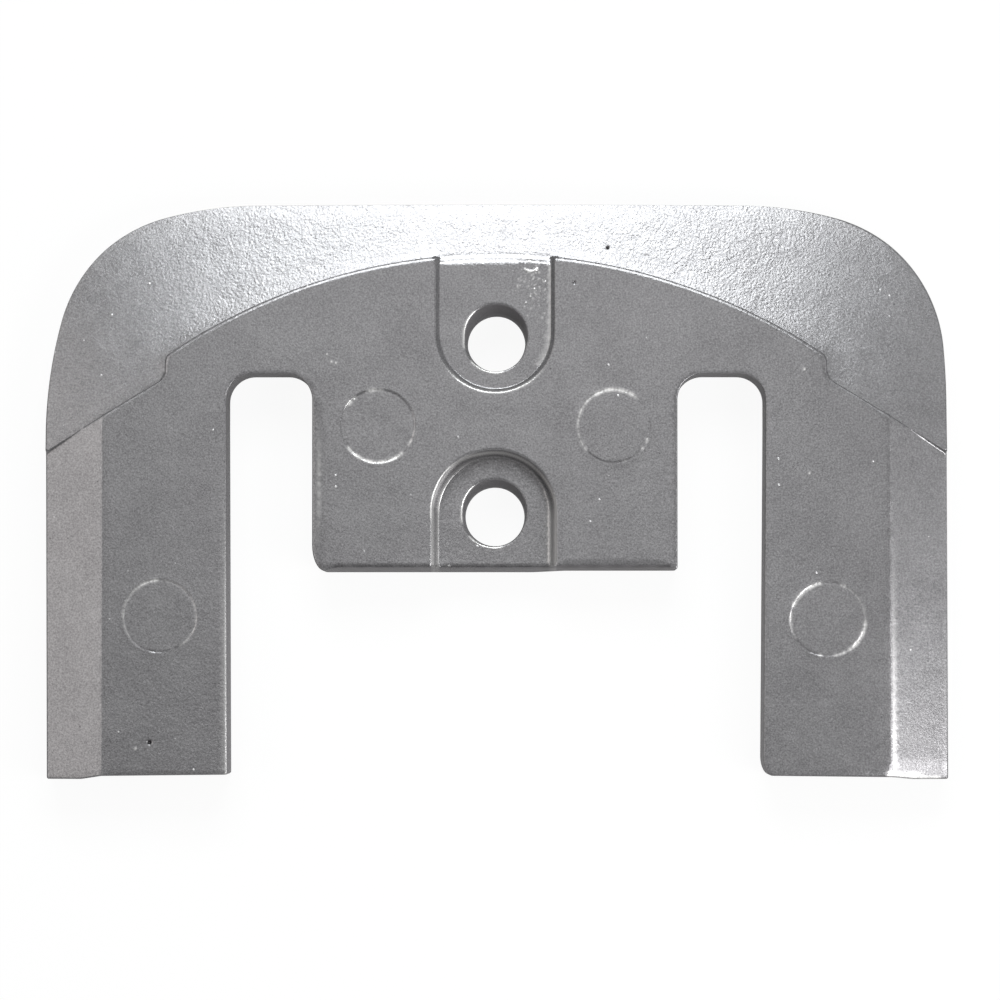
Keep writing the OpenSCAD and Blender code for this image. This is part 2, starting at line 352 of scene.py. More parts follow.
def seatRadius(x, y, seat):
    # distance from the seat's middle line: round below its end, straight towards its opening
    rise = (y - (topY - seat["drop"] + seat["lift"])) * seat["opens"]
    return np.hypot(x - seat["middle"], np.minimum(rise, 0))


def padDistance(x, y):
    # how far a point lies outside the raised face: below the shoulders, or under the arch
    # between the two jogs, with a small round where those lines meet
    c = casting
    side = np.abs(x)
    arch = np.hypot(x, y - archY) - c["archRadius"]
    strip = softMax(arch, side - c["archHalfWidth"], c["padCorner"])
    shoulder = (y - shoulderY + (side - bevelX) * shoulderTan) * math.cos(math.atan(shoulderTan))
    shoulder = np.maximum(shoulder, y - jogY - c["jogTop"])
    return softMin(strip, shoulder, c["padCorner"])


def raisedFace(x, y):
    # the raised face with its leg bevels; the right bevel's crest curls and its end falls off,
    # and the tab rolls over along its left edge
    c = casting
    curlWidth, curlLength = c["crestCurl"]
    curl = curlWidth * np.clip(1 - (y - endY) / curlLength, 0, 1) ** 2 * (x > 0)
    beyond = (np.abs(x) - bevelX + curl) * math.tan(math.radians(c["bevelSlope"]))
    bevel = softMax(beyond, 0 * x, c["crestRound"])
    depth, length, start = c["endFall"]
    fall = depth * np.clip(1 - (y - endY) / length, 0, 1) ** 2 * ease(beyond / start) * (x > 0)
    depth, width = c["tabRoll"]
    roll = np.clip(1 - (x + tabX) / width, 0, 1) ** 2
    roll = roll * fade(notchY - y, *c["rollStart"]) * (np.abs(x) < legX)
    return faceZ - bevel - fall - depth * roll


def borderCone(x, y, edgeGap):
    # the border as a cone that falls off towards the middle of the top edge, and each point's
    # distance outside the circle where the cone starts
    c = casting
    reach = np.hypot(x, y - coneY) - c["coneRadius"]
    cone = faceZ - c["borderStep"] - reach * math.tan(math.radians(c["borderSlope"]))
    depth, length = c["outerFall"]
    fallEnd, run = c["fallEnds"]
    fall = depth * np.clip(1 - edgeGap / length, 0, 1) ** 2 * ease((fallEnd - np.abs(x)) / run)
    return cone - fall, reach


def footRise(outside):
    # how much the foot of the face's step rises towards it
    height, length = casting["footRound"]
    return height * np.exp(-np.maximum(outside, 0) / length)


def cutUpperSeat(x, y, level, cone, reach, outside):
    # the shallow seat: its floor rolls over to the border at its opening, its wall is steeper
    # at the round end, and both run out beyond the raised face
    seat = upperSeat
    radius = seatRadius(x, y, seat)
    rim = seat["floor"] + seat["spread"]
    floorZ = faceZ - seat["depth"]
    rolled = stepShare(reach - seat["openingShift"], *seat["opening"])
    floorZ = floorZ + (cone + footRise(reach) - floorZ) * rolled
    down = np.clip((topY - seat["drop"] - y) / seat["floor"], 0, 1) ** 2
    sunk = (rim - radius) / (seat["spread"] + (seat["endSpread"] - seat["spread"]) * down)
    sunk = softMin(softMax(sunk, 0 * x, seat["rimSoft"]), 0 * x + 1, seat["footSoft"])
    sunk = np.clip(sunk, 0, 1) * (1 - fade(outside, *seat["runOut"]))
    return level + (floorZ - level) * sunk


def cutLowerSeat(x, y, level):
    # the deep seat: a leaning wall with rounded edges, and a floor that rises a little at the
    # round end's foot
    seat = lowerSeat
    radius = seatRadius(x, y, seat)
    wall = (radius - seat["floor"]) * (seat["depth"] / seat["spread"])
    bowl = softMax(wall, 0 * x, seat["footSoft"])
    bowl = softMin(bowl, 0 * x + seat["depth"], seat["rimSoft"])
    height, length = seat["foot"]
    height = height * fade(y, topY - seat["drop"], seat["footEnd"]) * (wall < 1)
    bowl = bowl + height * np.exp(-np.maximum(seat["floor"] - radius, 0) / length)
    return np.minimum(level, bowl + faceZ - seat["depth"])


def markRings(x, y, level):
    # each pin mark: a disc that lies a little off the face, in an uneven groove with a lip
    grooveDepth, grooveWidth = ringLine["groove"]
    lipHeight, lipReach, lipWidth = ringLine["lip"]
    least, coarse, fine = ringLine["uneven"]
    fineness, disc = ringLine["turning"]
    for number, mark in enumerate(pinMarks):
        reach, turn = around(x, y, mark["at"])
        ring = reach - mark["radius"] - ringLine["sway"] * np.sin(3 * turn + number)
        uneven = least + coarse * np.sin(turn * 2 + number) * np.sin(turn * 7 + 2 * number)
        uneven = uneven + fine * np.sin(turn * 31 + number) * np.sin(turn * 12)
        level = level + mark["sink"] * (1 - ease(ring / ringLine["discEdge"] + 0.5))
        level = level - grooveDepth * uneven * bell(ring, grooveWidth)
        level = level + lipHeight * uneven * bell(ring - lipReach, lipWidth)
        level = level + mark.get("turned", 0) * np.cos(reach * fineness) * (ring < disc)
    return level


def surfaceHeight(x, y, edgeGap):
    # height of the shaped side: raised face, border, seats, pin marks, chip, spots and waves;
    # edgeGap is each point's distance from the outline
    c = casting
    outside = padDistance(x, y)
    face = raisedFace(x, y)
    cone, reach = borderCone(x, y, edgeGap)
    narrow = 1 - fade(np.abs(x) - bevelX, *c["stepNarrow"])
    lost = stepShare(outside / narrow, *c["faceStep"])
    level = face + (cone + footRise(outside) - face) * lost
    level = cutUpperSeat(x, y, level, cone, reach, outside)
    level = cutLowerSeat(x, y, level)
    level = markRings(x, y, level)
    level = level + chip["height"] * chipLine(x, y)
    for spot in spots + scatter:
        level = level + spot["height"] * bell(around(x, y, spot["at"])[0], spot["radius"])
    return np.minimum(level + c["waveHeight"] * waviness(x, y) - c["waveDrop"], faceZ)


def arcMask(x, y, middle, start, end):
    # 1 within a range of degrees around a middle, with soft ends
    turn = np.degrees(around(x, y, middle)[1])
    off = np.abs((turn - (start + end) / 2 + 180) % 360 - 180)
    return ease(((end - start) / 2 - off) / arcFade + 0.5)


def chipLine(x, y):
    # curved scratch below the upper seat's opening
    reach = around(x, y, chip["at"])[0] - chip["radius"]
    return bell(reach, chip["width"]) * arcMask(x, y, chip["at"], *chip["arc"])


def waviness(x, y):
    # sum of sine waves with random directions, lengths and phases
    total = 0 * x
    shortest, more = waves["lengths"]
    for turn, length, phase in np.random.default_rng(waves["seed"]).random((waves["count"], 3)):
        wave = 2 * math.pi / (shortest + more * length)
        along = x * math.cos(turn * math.pi) + y * math.sin(turn * math.pi)
        total = total + np.sin(along * wave + phase * waves["phase"])
    return total / waves["evenOut"]


def insidePath(points, path):
    # even-odd rule: a point is inside if a ray along +x crosses the path an odd number of times
    x0, y0 = path.T
    x1, y1 = np.roll(path, -1, axis=0).T
    slope = (x1 - x0) / np.where(y1 == y0, 1e-9, y1 - y0)
    inside = []
    for part in np.array_split(points, max(1, len(points) // 4000)):
        px, py = part[:, :1], part[:, 1:]
        crosses = ((y0 > py) != (y1 > py)) & (px < x0 + (py - y0) * slope)
        inside.append(crosses.sum(axis=1) % 2 == 1)
    return np.concatenate(inside)


def distanceTo(points, others):
    # distance from each point to the nearest of the others
    near = []
    for part in np.array_split(points.astype(np.float32), max(1, len(points) // 1500)):
        across, up = (part[:, None, axis] - others[None, :, axis] for axis in (0, 1))
        near.append(np.sqrt((across ** 2 + up ** 2).min(axis=1)))
    return np.concatenate(near).astype(float)


def uprightRows(middle, offs, top):
    # straight rows of points beside an upright line, from the legs' ends up
    y = np.arange(endY, top, meshStep["upright"])
    return np.vstack([np.column_stack((0 * y + middle + off, y)) for off in offs])


def seatRows(seat):
    # rows of points along a seat's wall, round its end and up both sides
    middle = np.array([0, topY - seat["drop"] + seat["lift"]])
    flip = np.array([1, seat["opens"]])
    rows = []
    for radius in seat["floor"] + seat["spread"] * np.array(meshRows["seat"]):
        end = arc((0, 0), radius, -180, 0, meshStep["seat"])
        reach = np.arange(meshStep["seat"], seatSides, meshStep["seat"])[:, None]
        sides = np.vstack([np.hstack((0 * reach + side * radius, reach)) for side in (-1, 1)])
        rows.append(np.vstack((end, sides)) * flip + middle)
    return rows


def featurePoints():
    # rows of points that follow the face's edges, so that the mesh bends along them
    c = casting
    archEnd = math.degrees(math.acos(c["archHalfWidth"] / c["archRadius"]))
    sideY = shoulderY - (halfLength - bevelX) * shoulderTan
    padEdge = np.vstack((
        [[halfLength, sideY], [c["archHalfWidth"], jogY]],
        arc((0, archY), c["archRadius"], archEnd, 180 - archEnd),
        [[-c["archHalfWidth"], jogY], [-halfLength, sideY]]))
    path = spreadPath(padEdge, meshStep["edge"], False)
    normals = leftOf(np.gradient(path, axis=0))
    rows = [path + normals * off for off in meshRows["pad"]]
    for seat in seats:
        rows += seatRows(seat)
    for x in (-bevelX, bevelX):
        rows.append(uprightRows(x, meshRows["crest"], shoulderY + 0.5))
    for mark in pinMarks:
        for off in meshRows["ring"]:
            rows.append(arc(mark["at"], mark["radius"] + off, 0, 360, meshStep["ring"])[:-1])
    for off in meshRows["chip"]:
        rows.append(arc(chip["at"], chip["radius"] + off, 180, 360, meshStep["chip"]))
    rows.append(uprightRows(1.05 - tabX, meshRows["tab"], notchY - 4))
    rows.append(uprightRows(-legX - 0.35, meshRows["leg"], notchY - 4))
    for seat in seats:
        for extra in meshRows["mouth"]:
            rows.append(mouthPath(seat, 1, boltHole["rimRound"] + extra))
    for spot in spots + scatter:
        for share in meshRows["spot"]:
            radius = max(spot["radius"] * share, 0.02)
            rows.append(arc(spot["at"], radius, 0, 360, meshStep["spot"])[:-1])
    return np.vstack(rows)


def mouthReach(seat, turn, share, grow):
    # reach of a hole's mouth in each direction: the farthest of the plain bore, of a cone on
    # its axis, which is widest on the left, and of a second cone shifted to the top edge
    b = boltHole
    shift = seat["mouthShift"]
    radius = seat["hole"][1]
    side = 0.75 - 0.25 * np.cos(turn) + 0.25 * np.sin(turn)
    rim = radius + b["flare"]
    start = radius - shift - b["flare"] / 4
    second = start + (rim - start) * share
    across = np.sqrt(np.maximum(second ** 2 - (shift * np.cos(turn)) ** 2, 0.01))
    reach = np.maximum(radius + b["flare"] * side * share, shift * np.sin(turn) + across)
    return softMax(reach, radius + 0 * reach, 0.05) + grow * np.clip(side, 0.5, 1)


def mouthPath(seat, share, grow):
    # the mouth's reach laid around the hole's middle
    turn = np.linspace(0, 2 * math.pi, boltHole["points"], endpoint=False)
    reach = mouthReach(seat, turn, share, grow)
    middle = np.array([seat["hole"][0], topY - seat["drop"]])
    return middle + reach[:, None] * np.column_stack((np.cos(turn), np.sin(turn)))


def triangulate(points, loops):
    # Delaunay triangles of all points that keep the loops' edges; loops come first in points
    edges = []
    start = 0
    for loop in loops:
        index = np.arange(start, start + len(loop))
        edges += np.column_stack((index, np.roll(index, -1))).tolist()
        start += len(loop)
    result = delaunay_2d_cdt(list(map(Vector, points.tolist())), edges, [], 0, 1e-7)
    order = np.array([origin[0] if origin else -1 for origin in result[3]])
    print("points added where edges cross:", (order < 0).sum())
    triangles = order[np.array(result[2])]
    centres = points[triangles].mean(axis=1)
    return triangles[insideLoops(centres, loops)]


def insideLoops(points, loops):
    # inside the first loop and outside the others, which are holes
    inside = insidePath(points, loops[0])
    for hole in loops[1:]:
        inside &= ~insidePath(points, hole)
    return inside


def patchy(x, y):
    # uneven strength along the painted highlight lines
    return 0.75 + 0.25 * np.sin(x * 2.1 + y) * np.sin(x * 5.3 - y * 4 + 1)


def paintedHighlight(name, distance):
    # one painted highlight line at its own distance from an edge
    off, width, strength = highlightLines[name]
    return bell(distance - off, width) * strength


def edgeHighlights(x, y):
    # painted highlight lines beside the tab's left edge, the left leg's inner edge and the right
    # bevel's crest, and a painted highlight strip across that bevel's lower end
    rough = 0.6 + 0.4 * np.sin(y * 6.1 + x * 3) * np.sin(y * 2.3 + 2)
    across = (x - bevelX) / casting["bevelWidth"]
    height, heightRun, width, widthRun = highlightRun["stripEnds"]
    strip = ease((height - across - (y - endY)) / heightRun) * ease((width - across) / widthRun)
    strip = strip * fade(x - bevelX, *highlightRun["stripStart"])
    middle, half = highlightRun["tabEdge"]
    return [
        paintedHighlight("tabEdge", x + tabX) * np.exp(-((y - middle) / half) ** 4) * rough,
        paintedHighlight("legEdge", x + legX) * fade(-y, *highlightRun["legEdge"]),
        paintedHighlight("crest", x - bevelX) * fade(-y, *highlightRun["crest"]) * patchy(x, y),
        strip * highlightLines["bevelEnd"] * patchy(x, y)]


def upperSeatHighlights(x, y):
    # painted highlights on the round end's rim and along the foot of the right side
    outside = seatRadius(x, y, upperSeat) - upperSeat["floor"]
    below = ease((topY - upperSeat["drop"] - 3 - y) / 4)
    right = (x > 0) * (y > 20) * (y < topY - 9.5)
    return [
        paintedHighlight("upperRim", outside - upperSeat["spread"]) * below * patchy(x, y),
        paintedHighlight("upperFoot", outside) * right * patchy(x, y)]


def lowerSeatHighlights(x, y):
    # painted highlights: a line on the wall that lies deeper at the round end and is brightest on the
    # left, a second line at the left foot, and sides painted paler
    seat = lowerSeat
    middle = (seat["middle"], topY - seat["drop"] + seat["lift"])
    outside = seatRadius(x, y, seat) - seat["floor"]
    inSeat = (y < 10) * 1.0
    roundEnd = fade(y, *highlightRun["roundEnd"])
    left = fade(-x, *highlightRun["left"])
    right = fade(x, *highlightRun["right"]) * ease((topY - seat["drop"] + 5 - y) / 6)
    sides = ease((topY - seat["drop"] + 6 - y) / 8) * inSeat
    line = seat["spread"] - 0.12 - 0.28 * roundEnd * (1 - left)
    strength = (0.95 + 0.5 * roundEnd * (1 - left)) * inSeat
    wall = ease((outside + 0.05) / 0.1) * ease((seat["spread"] - outside) / 0.1)
    return [
        paintedHighlight("lowerWall", outside - line) * strength * (0.7 + 0.3 * patchy(x, y)),
        paintedHighlight("rightFoot", outside) * right * inSeat,
        paintedHighlight("lowerGlint", outside - line) * arcMask(x, y, middle, *highlightLines["glintArc"]),
        paintedHighlight("lowerFoot", outside) * (
            0.45 * left * inSeat + 0.5 * arcMask(x, y, middle, *highlightLines["footArc"])),
        wall * (0.4 + 0.2 * right) * sides]


def mouthHighlights(x, y, seat):
    # two painted highlight crescents beside a hole's mouth
    middle = (seat["hole"][0], topY - seat["drop"])
    reach, turn = around(x, y, middle)
    crescents = sum(arcMask(x, y, middle, *ends) for ends in highlightLines["mouthArcs"])
    return paintedHighlight("mouth", reach - mouthReach(seat, turn, 1, 0.12)) * crescents


def ringHighlights(x, y, mark):
    # the parts of a ring mark with a painted highlight, broken up along their length
    reach, turn = around(x, y, mark["at"])
    broken = 0.8 + 0.5 * np.sin(turn * 23) * np.sin(turn * 41 + 1)
    least, growth = ringHighlightLook["width"]
    total = 0 * x
    for start, end, strength in mark["arcs"]:
        if strength > 0:
            line = bell(reach - mark["radius"], least + growth * strength)
            total = total + line * arcMask(x, y, mark["at"], start, end) * strength
    return total * broken * ringHighlightLook["strength"]


def highlightStrength(x, y):
    # how strongly each point is painted pale as a highlight
    places = edgeHighlights(x, y) + upperSeatHighlights(x, y) + lowerSeatHighlights(x, y)
    places += [mouthHighlights(x, y, seat) for seat in seats]
    places += [ringHighlights(x, y, mark) for mark in pinMarks]
    # painted highlights on the chip's scratch and on the lumps
    places.append(chipLine(x, y))
    for spot in spots + scatter:
        if spot["height"] > 0:
            near = bell(around(x, y, spot["at"])[0], spot["radius"])
            places.append(near * spot["strength"])
    return np.clip(sum(places), 0, 1)


def shadeStrength(x, y):
    # how strongly each point is painted dark as shade: along the tab's end, inside the pits and on
    # parts of the ring marks
    end = bell(y - tabY - endShade["rise"], endShade["width"]) * (np.abs(x) < tabX - 1)
    total = end * (endShade["strength"] + 0.1 * np.sin(x * 1.7))
    for spot in spots:
        if spot["height"] < 0:
            reach = around(x, y, spot["at"])[0] / spot["radius"]
            total = np.maximum(total, (1 - fade(reach, *pitShade)) * spot["strength"])
    for mark in pinMarks:
        ring = around(x, y, mark["at"])[0] - mark["radius"]
        for start, end, strength in mark["arcs"]:
            if strength < 0:
                total = total - bell(ring, ringShade) * arcMask(x, y, mark["at"], start, end) * strength
    return np.clip(total, 0, 1)


def pebbles(x, y):
    # how strongly the skin is pebbled: most on the border, least on the bevels
    side, outside = np.abs(x), padDistance(x, y)
    border = pebbling["border"] * ease(outside * 2) * (1 - fade(side, *pebbling["calmSides"]))
    peel = pebbling["face"] + border
    peel = peel - fade(side, *pebbling["corners"]) * (outside > 0)
    peel = peel + fade(-y, *pebbling["leftLeg"]) * (x < 0)
    return peel - pebbling["bevel"] * (side > bevelX) * (outside < 0)


def sideways(x, y):
    # how far the casting is out of true at each point
    ends = np.clip((10 - y) / 55, 0, 1)
    upper, lower = (np.interp(x, outOfTrue["x"], outOfTrue[part]) for part in ("upper", "lower"))
    return upper + ends * lower


class Rings:
    # the casting's vertices, which start with its face and grow ring by ring, and the quads
    # between rings
    def __init__(self, face, height):
        self.vertices = [np.column_stack((face, height))]
        self.upright = [np.zeros(len(face))]        # 1 on the upright walls, 0 on the face
        self.total = len(face)
        self.quads = []

    def add(self, points, z, upright=1.0):
        # one more ring, or loose points; gives back their numbers
        self.vertices.append(np.column_stack((points, np.broadcast_to(z, len(points)))))
        self.upright.append(np.full(len(points), upright))
        self.total += len(points)
        return np.arange(self.total - len(points), self.total)

    def join(self, first, second):
        # quads between two rings with as many points each
        self.quads.append(np.column_stack((first, np.roll(first, -1), np.roll(second, -1), second)))


def wallLean(path):
    # the tab's end leans back more than the other walls; the change is spread over a few points
    c = casting
    onTabEnd = np.abs(path[:, 1] - tabY) < 0.5
    onTabEnd &= (path[:, 0] > c["tabToe"][0] + 1 - tabX) & (path[:, 0] < tabX - 1)
    lean = np.where(onTabEnd, c["tabDraft"], 0)
    return sum(np.roll(lean, k) for k in range(-4, 5)) / 9


def rimSizes(path):
    # the rim's round is large along the legs and at the right upper corner, and least at the top
    x, y = path.T
    legs, border, top, corner = casting["rimRound"]
    rim = np.where(y > jogY, border, legs)
    rim = np.where(y > topY - casting["rimTop"], top, rim)
    right, height = casting["rimCorner"]
    rim = np.where((x > right) & (y > height), corner, rim)
    return np.convolve(np.concatenate((rim[-20:], rim, rim[:20])), np.ones(41) / 41, "valid")


def gridPoints(step, shift=0):
    # a grid over the casting, with every second row shifted by a share of the step
    x, y = np.meshgrid(np.arange(low[0], high[0], step), np.arange(endY, topY, step))
    x = x + (np.arange(len(x)) % 2)[:, None] * step * shift
    return np.column_stack((x.ravel(), y.ravel()))


def facePoints(loops):
    # the loops' points, then rows along the face's edges and a grid where those leave room
    edge = np.vstack(loops)
    features = featurePoints()
    cell = np.round(features / meshGap["merge"]).astype(int)
    features = features[np.unique(cell, axis=0, return_index=True)[1]]
    features = features[distanceTo(features, edge) > meshGap["edge"]]
    grid = gridPoints(meshStep["grid"], 0.5)
    grid = grid[distanceTo(grid, np.vstack((edge, features))) > meshGap["grid"]]
    inner = np.vstack((features, grid))
    return np.vstack((edge, inner[insideLoops(inner, loops)]))


def addOuterWall(rings, path, normals, lean, rim):
    # a profile carried along the outline: the rim's round, the wall and the back's round
    back = casting["backRound"]
    rimHeight = rings.vertices[0][:len(path), 2]
    profile = []
    for turn in np.radians((22.5, 45, 67.5, 90)):
        off, drop = rim * (1 - math.sin(turn)), rim * (1 - math.cos(turn))
        profile.append((lean + off, rimHeight - drop, ease(turn - 0.5)))
    wallTop = rimHeight - rim
    for share in (0.25, 0.5, 0.75, 1):
        profile.append((lean * (1 - share), wallTop + (back - wallTop) * share, 1))
    for turn in np.radians((45, 90)):
        profile.append((back * (1 - math.cos(turn)), back * (1 - math.sin(turn)), 1))
    ring = np.arange(len(path))
    for gap, z, upright in profile:
        following = rings.add(inset(path, normals, gap), z, upright)
        rings.join(ring, following)
        ring = following
    return ring


def addBore(rings, seat, ring):
    # one bolt hole: rounded rim, flared mouth, straight bore and rounded back edge
    b = boltHole
    back = casting["backRound"]
    floorZ = rings.vertices[0][ring, 2]
    profile = []
    for turn in np.radians((30, 60, 90)):
        drop = b["rimRound"] * (1 - math.cos(turn))
        profile.append((1 - drop / b["flareDepth"], b["rimRound"] * (1 - math.sin(turn)),
                        floorZ - drop, ease(turn - 0.5)))
    for share in (0.75, 0.5, 0.25, 0):
        profile.append((share, 0, faceZ - seat["depth"] - b["flareDepth"] * (1 - share), 1))
    for z, grow in ((2, 0), (back, 0), (0.09, 0.09), (0, back)):
        profile.append((0, grow, z, 1))
    for share, grow, z, upright in profile:
        following = rings.add(mouthPath(seat, share, grow), z, upright)
        rings.join(following, ring)
        ring = following
    return ring


def backGrid(loops):
    # loose grid of points inside the plain back
    loose = gridPoints(meshStep["back"])
    clear = distanceTo(loose, np.vstack(loops)) > meshGap["back"]
    return loose[clear & insideLoops(loose, loops)]


def castingMesh():
    # the whole casting as one closed mesh, and its back's outline and holes in millimetres
    back = casting["backRound"]
    path = spreadPath(outlinePath(), meshStep["path"], True)
    normals = leftOf(np.roll(path, -1, axis=0) - np.roll(path, 1, axis=0))      # inwards
    lean, rim = wallLean(path), rimSizes(path)
    loops = [inset(path, normals, lean + rim)]
    loops += [mouthPath(seat, 1, boltHole["rimRound"]) for seat in seats]
    face = facePoints(loops)
    faceTriangles = triangulate(face, loops)
    print("face:", len(face), "points,", len(faceTriangles), "triangles")

    rings = Rings(face, surfaceHeight(*face.T, distanceTo(face, path)))
    backRings = [addOuterWall(rings, path, normals, lean, rim)]
    backLoops = [inset(path, normals, back)]
    start = len(path)
    for seat in seats:
        backRings.append(addBore(rings, seat, np.arange(start, start + boltHole["points"])))
        backLoops.append(mouthPath(seat, 0, back))
        start += boltHole["points"]
    loose = backGrid(backLoops)
    backTriangles = triangulate(np.vstack(backLoops + [loose]), backLoops)[:, ::-1]
    number = np.concatenate(backRings + [rings.add(loose, 0)])
    print("back:", len(backTriangles), "triangles")

    points = np.vstack(rings.vertices)
    x, y = points[:, :2].T.copy()       # the marks are placed before the sideways shift
    points[:, 0] += sideways(x, y)
    faces = np.vstack((faceTriangles, number[backTriangles])).tolist()
    faces += np.vstack(rings.quads)[:, ::-1].tolist()
    mesh = bpy.data.meshes.new("anodeCasting")
    mesh.from_pydata((points * mm).tolist(), [], faces)
    body = bmesh.new()
    body.from_mesh(mesh)
    bmesh.ops.recalc_face_normals(body, faces=body.faces)
    print("open edges:", sum(not edge.is_manifold for edge in body.edges))
    body.to_mesh(mesh)
    body.free()
    mesh.polygons.foreach_set("use_smooth", np.ones(len(mesh.polygons), dtype=bool))
    upright = np.concatenate(rings.upright)
    # attributes for the material: pebbling, upright walls, painted highlights and painted shade
    for name, values in (("peel", pebbles(x, y)), ("wall", upright),
                         ("paintedHighlight", highlightStrength(x, y)), ("paintedShade", shadeStrength(x, y))):
        mesh.attributes.new(name, "FLOAT", "POINT").data.foreach_set("value", values)
    mesh.update()
    shifted = [loop + np.column_stack((sideways(*loop.T), 0 * loop[:, 0])) for loop in backLoops]
    return mesh, shifted


# Look of the metal: its noises' size in millimetres, detail and roughness, the part of their
# range that is used, and heights of the bumps in micrometres
metal = {
    "dark": (0.14, 0.136, 0.142), "pale": (0.31, 0.306, 0.313), "edgeTint": (0.35, 0.35, 0.35),
    "metallic": 0.55, "roughness": (0.17, 0.25), "wallMetallic": 0.15, "wallRoughness": 0.6,
    "mottle": (7, 4, 0.6), "mottleShare": 0.2, "tint": (0.28, 3, 0.65), "uneven": (1.6, 4, 0.6),
    "wave": (2.0, 2, 0.5), "peel": (0.42, 3, 0.5), "grain": (0.22, 2, 0.5),
    "spread": (0.3, 0.7), "tintSpread": (0.32, 0.68),
    "waveHeight": 45, "peelHeight": 52, "grainHeight": 9,
    # glint and highlight colours are painted highlights; pore shade, shade and wall shade colours are
    # painted shade
    "sparkSize": 1.5, "sparkPick": (0.94, 0.95), "sparkHeight": 20,
    "glintShare": 0.55, "glintColour": (0.9, 0.9, 0.9),
    "porePick": (0.955, 0.965), "poreShadeShare": 0.6, "poreShadeColour": (0.05, 0.048, 0.05),
    "highlightShare": 0.8, "highlightColour": (0.85, 0.84, 0.83), "shadeColour": (0.03, 0.028, 0.03),
    "wallShadeShare": 0.8, "wallShadeColour": (0.176, 0.17, 0.176), "specular": (0.5, 0.05),
    "sparkEdge": (0.13, 0.08), "poreEdge": (0.13, 0.07),
}


def newMaterial(name):
    # a material, its nodes, and helpers that fill a socket and do one sum
    material = bpy.data.materials.new(name)
    material.use_nodes = True
    nodes, links = material.node_tree.nodes, material.node_tree.links

    def put(value, socket):
        if isinstance(value, bpy.types.NodeSocket):
            links.new(value, socket)
        else:
            socket.default_value = value

    def maths(kind, a, b):
        node = nodes.new("ShaderNodeMath")
        node.operation = kind
        put(a, node.inputs[0])
        put(b, node.inputs[1])
        return node.outputs[0]

    return material, nodes, put, maths


